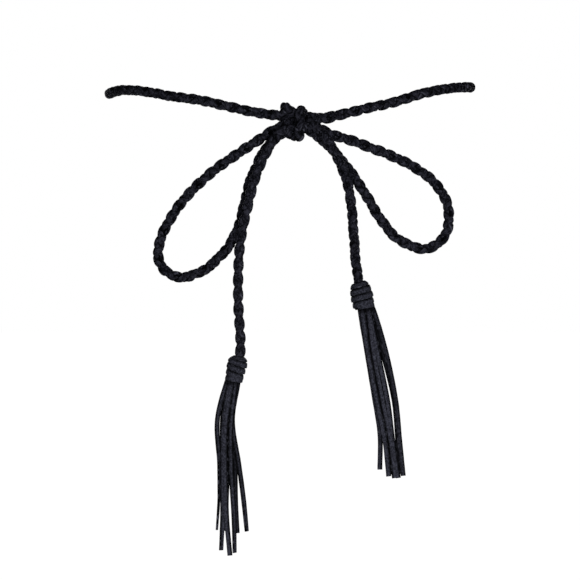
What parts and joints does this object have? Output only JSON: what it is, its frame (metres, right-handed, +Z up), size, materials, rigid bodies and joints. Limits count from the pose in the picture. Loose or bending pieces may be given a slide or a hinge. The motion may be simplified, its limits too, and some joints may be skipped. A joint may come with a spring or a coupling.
{
  "type": "braided rope belt",
  "caption": "Braided suede lace rope belt tied in a bow in front, with a wrapped tassel of flat laces on each end.",
  "frame": {"origin": "the middle of the wearer's waist, level with the rope at the wearer's sides", "axes": "+Z up along the wearer, -Y towards the front where the bow is tied, +X to the right of the front view"},
  "size_m": [0.2641, 0.2247, 0.3258],
  "materials": {
    "braid_suede": "matt suede nap, near black with a blue tint",
    "lace_suede": "matt suede nap on flat cut laces, near black with a blue tint"
  },
  "bodies": {
    "root": {"waist_rope": "braid_suede", "bow_knot": "braid_suede", "bow_loop_left": "braid_suede", "bow_loop_right": "braid_suede", "tail_left": "braid_suede", "tail_right": "braid_suede", "tassel_wrap_left": "lace_suede", "tassel_wrap_right": "lace_suede", "tassel_fringe_left": "lace_suede", "tassel_fringe_right": "lace_suede"}
  },
  "joints": []
}
